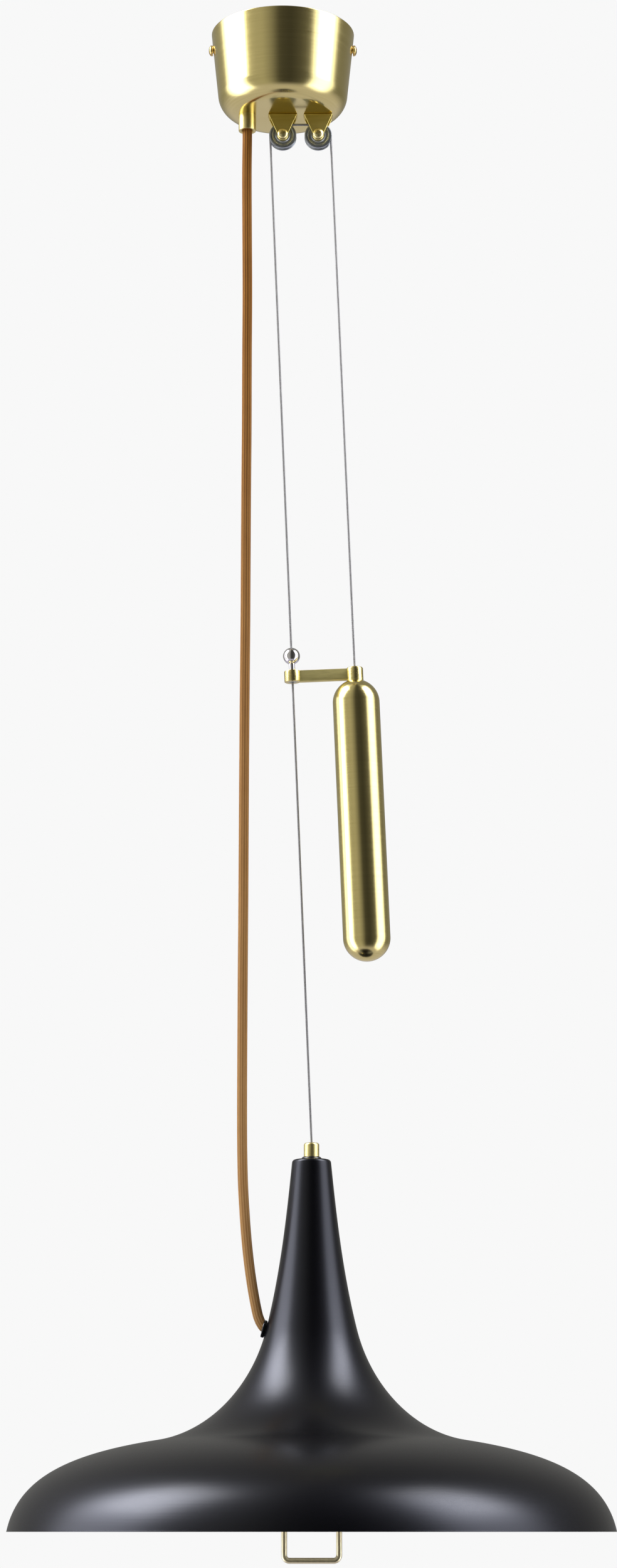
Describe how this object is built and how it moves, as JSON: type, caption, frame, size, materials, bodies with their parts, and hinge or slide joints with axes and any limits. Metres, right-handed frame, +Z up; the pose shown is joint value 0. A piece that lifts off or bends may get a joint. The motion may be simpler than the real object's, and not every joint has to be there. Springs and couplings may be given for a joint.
{
  "type": "rise and fall pendant lamp",
  "caption": "Pendant lamp on a wire over pulleys, balanced by a sliding brass counterweight, with a flared metal shade, braided flex and a pull handle.",
  "frame": {"origin": "centre of the ceiling rose on the ceiling plane, midway between the two ceiling screws", "axes": "+Z up, +X to the right from the cable gland past the pulleys to the counterweight, -Y towards the viewer at the front"},
  "size_m": [0.4099, 0.41, 1.101],
  "materials": {
    "steel": "zinc plated",
    "brushed_brass": "brushed and lacquered",
    "polished_brass": "polished",
    "zinc_wheel": "zinc plated, bright edges",
    "wire_rope": "twisted strands",
    "steel_core": "plain turned steel",
    "chromed_ball": "mirror",
    "black_shade": "satin charcoal black outside, white inside",
    "black_rubber": "glossy",
    "black_holder": "moulded",
    "white_nylon": "moulded",
    "braided_flex": "golden brown braid",
    "lead_sleeve": "insulated leads in three colours",
    "opal_glass": "opal white",
    "bulb_metal": "thin rolled cap"
  },
  "bodies": {
    "ceiling": {"mounting_strap": "steel", "canopy": "brushed_brass", "canopy_screws": "polished_brass", "cable_gland": "polished_brass", "gland_nut": "polished_brass", "cord_grip": "white_nylon", "terminal_block": "white_nylon", "terminal_screws": "steel", "block_screw": "steel", "flex_head": "braided_flex", "rose_leads": "lead_sleeve", "pulley_bracket_left": "polished_brass", "pulley_bracket_right": "polished_brass", "bracket_screws": "polished_brass", "bracket_nuts": "steel", "axle_screws": "polished_brass", "axle_nuts": "polished_brass", "wire_over_pulleys": "wire_rope"},
    "left_pulley": {"pulley_left": "zinc_wheel", "pulley_bush_left": "polished_brass"},
    "right_pulley": {"pulley_right": "zinc_wheel", "pulley_bush_right": "polished_brass"},
    "counterweight": {"guide_arm": "polished_brass", "guide_bush": "white_nylon", "weight_stud": "steel", "weight_ferrule": "steel", "weight_shell": "brushed_brass", "weight_base": "brushed_brass", "weight_core": "steel_core", "weight_wire": "wire_rope"},
    "lamp": {"lamp_wire": "wire_rope", "ball_stop": "chromed_ball", "ball_grub_screw": "steel", "lamp_wire_lower": "wire_rope", "wire_collar": "polished_brass", "collar_ferrule": "steel", "top_washer": "black_shade", "hanger_stud": "steel", "shade_nut": "steel", "shade": "black_shade", "grommet": "black_rubber", "flex": "braided_flex", "flex_tail": "braided_flex", "tail_clip": "white_nylon", "lamp_leads": "lead_sleeve", "hickey": "steel", "nipple": "polished_brass", "holder_cap": "black_holder", "holder_body": "black_holder", "holder_insert": "white_nylon", "holder_thread": "polished_brass", "holder_contact": "polished_brass", "holder_ring": "black_holder", "bulb_glass": "opal_glass", "bulb_cap": "bulb_metal", "handle_stirrup": "steel", "pull_handle": "polished_brass", "handle_nuts": "steel"}
  },
  "joints": [
    {"name": "lamp_lift", "type": "slide", "parent": "ceiling", "child": "lamp", "axis": [-0.0409, 0, 0.9992], "range_m": [0, 0.125], "deforming": ["lamp_wire", "flex"]},
    {"name": "counterweight_slide", "type": "slide", "parent": "ceiling", "child": "counterweight", "axis": [-0.0409, 0, 0.9992], "range_m": [-0.125, 0], "deforming": ["weight_wire"]},
    {"name": "left_pulley_spin", "type": "hinge", "parent": "ceiling", "child": "left_pulley", "pos_m": [0, 0, -0.0793], "axis": [0, 1, 0], "continuous": true},
    {"name": "right_pulley_spin", "type": "hinge", "parent": "ceiling", "child": "right_pulley", "pos_m": [0.026, 0, -0.0793], "axis": [0, 1, 0], "continuous": true}
  ],
  "couplings": [
    {"joint": "counterweight_slide", "follows": "lamp_lift", "ratio": -1},
    {"joint": "left_pulley_spin", "follows": "lamp_lift", "rad_per_m": 108.7},
    {"joint": "right_pulley_spin", "follows": "lamp_lift", "rad_per_m": 108.7}
  ]
}
